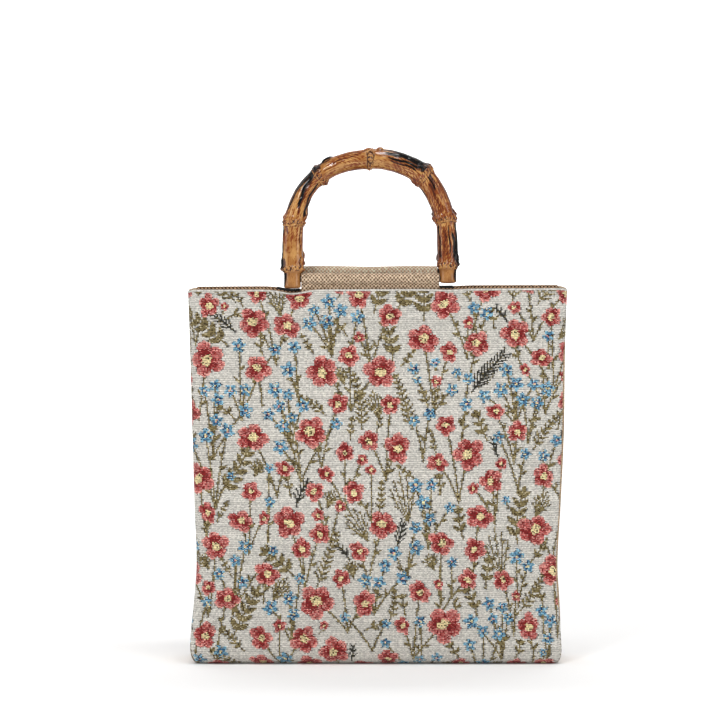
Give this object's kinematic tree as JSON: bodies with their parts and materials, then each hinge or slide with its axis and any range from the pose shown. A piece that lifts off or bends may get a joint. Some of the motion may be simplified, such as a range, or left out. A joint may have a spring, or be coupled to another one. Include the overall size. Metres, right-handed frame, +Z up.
{
  "type": "tote bag",
  "caption": "Open-topped rectangular tote bag of woven floral tapestry with folded linen sides and two D-shaped bamboo handles on rods in linen tabs.",
  "frame": {"origin": "on the floor, under the middle of the bag", "axes": "+Z up, +Y towards the back of the bag, +X towards the right as seen from the front"},
  "size_m": [0.3274, 0.1126, 0.4444],
  "materials": {
    "tapestry": "woven floral tapestry",
    "linen": "coarse natural basket weave",
    "bamboo": "lacquered and scorched",
    "rod": "dark satin",
    "patch": "matt black"
  },
  "bodies": {
    "bag": {"panel_front": "tapestry", "panel_back": "tapestry", "gusset_left": "linen", "gusset_right": "linen", "base_panel": "tapestry", "facing_front": "linen", "facing_back": "linen", "tab_front": "linen", "tab_back": "linen", "patch_front_left": "patch", "patch_front_right": "patch", "patch_back_left": "patch", "patch_back_right": "patch"},
    "front_handle": {"handle_front": "bamboo", "rod_front": "rod"},
    "back_handle": {"handle_back": "bamboo", "rod_back": "rod"}
  },
  "joints": [
    {"name": "front_handle_swing", "type": "hinge", "parent": "bag", "child": "front_handle", "pos_m": [-0.0064, -0.02269, 0.332], "axis": [1, 0, 0], "range_deg": [0, 100]},
    {"name": "back_handle_swing", "type": "hinge", "parent": "bag", "child": "back_handle", "pos_m": [-0.0064, 0.02269, 0.3363], "axis": [-1, 0, 0], "range_deg": [0, 100]}
  ]
}
